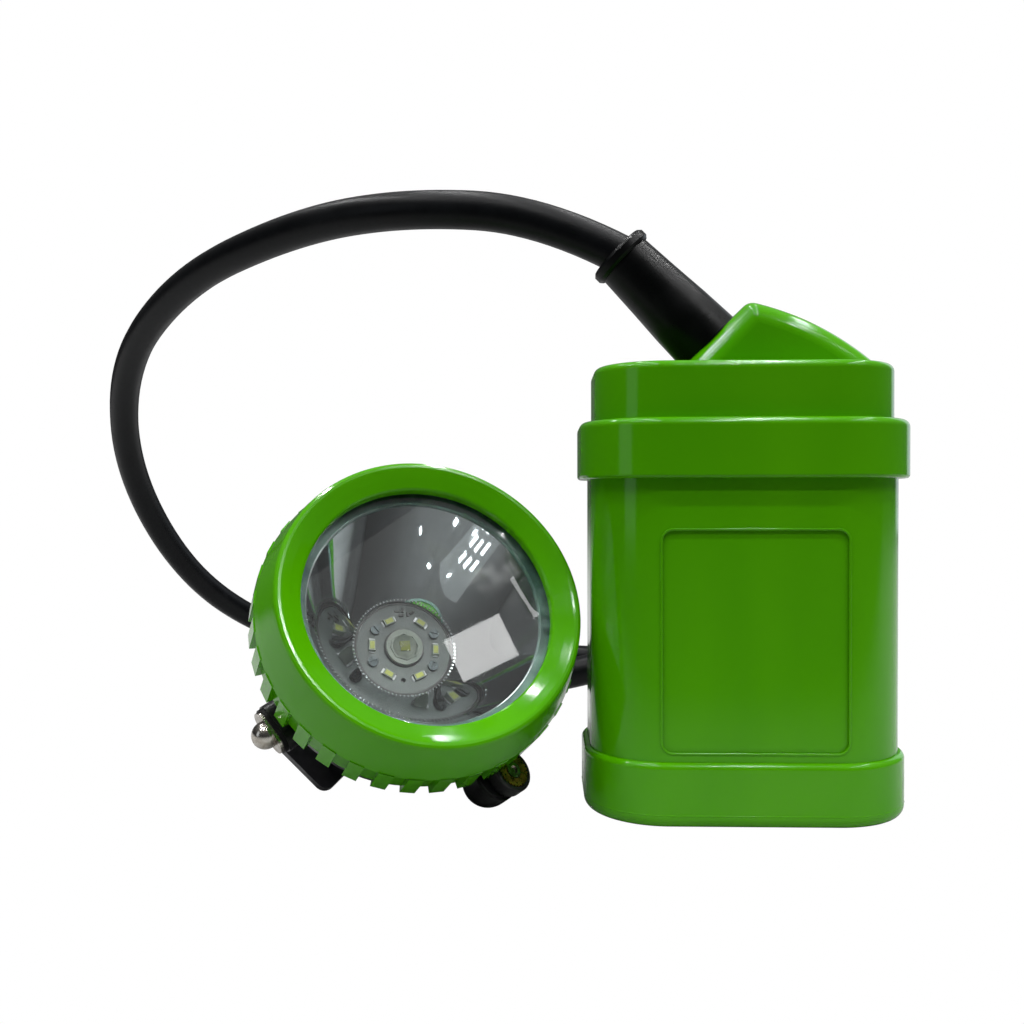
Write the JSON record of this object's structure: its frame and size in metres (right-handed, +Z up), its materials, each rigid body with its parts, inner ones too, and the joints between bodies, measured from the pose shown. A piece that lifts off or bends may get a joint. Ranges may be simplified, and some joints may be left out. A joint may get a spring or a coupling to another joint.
{
  "type": "miner's cap lamp",
  "caption": "Miner's cap lamp: belt battery box with hooded cable gland, rubber cable and a round lamp head with ribbed screw bezel, rotary switch and charging contact.",
  "frame": {"origin": "middle of the battery box's flat base, on the surface it stands on", "axes": "+Z up out of the box, label panel faces -Y, lamp head lies on the -X side"},
  "size_m": [0.2504, 0.2294, 0.1335],
  "materials": {
    "green_shell": "glossy moulded",
    "black_shell": "satin moulded",
    "rubber": "satin",
    "cord_rubber": "satin",
    "clear": "polished",
    "mirror": "polished",
    "board": "solder mask",
    "led": "phosphor",
    "led_body": "satin",
    "nickel": "polished nickel",
    "brass": "worn",
    "steel": "zinc plated",
    "alu": "machined",
    "cell": "shrink-wrapped can",
    "pcb": "circuit board",
    "wire": "insulated"
  },
  "bodies": {
    "housing": {"battery_case": "green_shell", "base_cap": "green_shell", "top_cover": "green_shell", "belt_loop_left": "green_shell", "belt_loop_right": "green_shell", "lamp_shell": "black_shell", "cap_hook": "black_shell", "cell_holder_lower": "black_shell", "cell_holder_upper": "black_shell", "cord_clamp": "black_shell", "cover_gasket": "rubber", "battery_boot": "rubber", "lamp_boot": "rubber", "charge_gasket": "rubber", "cord_battery_end": "cord_rubber", "cord_lamp_end": "cord_rubber", "cord_lead": "cord_rubber", "cord_return": "cord_rubber", "cord_coil": "cord_rubber", "led_dome": "clear", "reflector": "mirror", "led_board": "board", "led_die": "led", "aux_leds": "led", "main_led": "led_body", "charge_plate": "nickel", "charge_contact": "nickel", "cell_strip_lower": "nickel", "cell_strip_upper": "nickel", "charge_nut": "brass", "cover_screws": "steel", "belt_screws": "steel", "board_screws": "steel", "hook_screws": "steel", "led_carrier": "alu", "cells": "cell", "protection_board": "pcb", "driver_board": "pcb", "battery_chips": "black_shell", "driver_parts": "black_shell", "battery_leads": "wire", "lamp_leads": "wire"},
    "bezel_ring": {"bezel": "green_shell"},
    "lens_set": {"lens": "clear", "lens_gasket": "rubber"},
    "switch": {"switch_knob": "black_shell", "switch_wheel": "brass", "switch_pin": "nickel", "switch_shaft": "steel"}
  },
  "joints": [
    {"name": "lens_slide", "type": "slide", "parent": "housing", "child": "lens_set", "axis": [0.3346, -0.7959, 0.5045], "range_m": [0, 0.006]},
    {"name": "bezel_turn", "type": "hinge", "parent": "lens_set", "child": "bezel_ring", "pos_m": [-0.0634, -0.0182, 0.04402], "axis": [0.3346, -0.7959, 0.5045], "range_deg": [0, 1080]},
    {"name": "switch_turn", "type": "hinge", "parent": "housing", "child": "switch", "pos_m": [-0.04742, -0.01055, 0.00842], "axis": [0.613, -0.5546, 0.5627], "range_deg": [-90, 90]}
  ],
  "couplings": [
    {"joint": "lens_slide", "follows": "bezel_turn", "m_per_rad": 0.00031831}
  ]
}
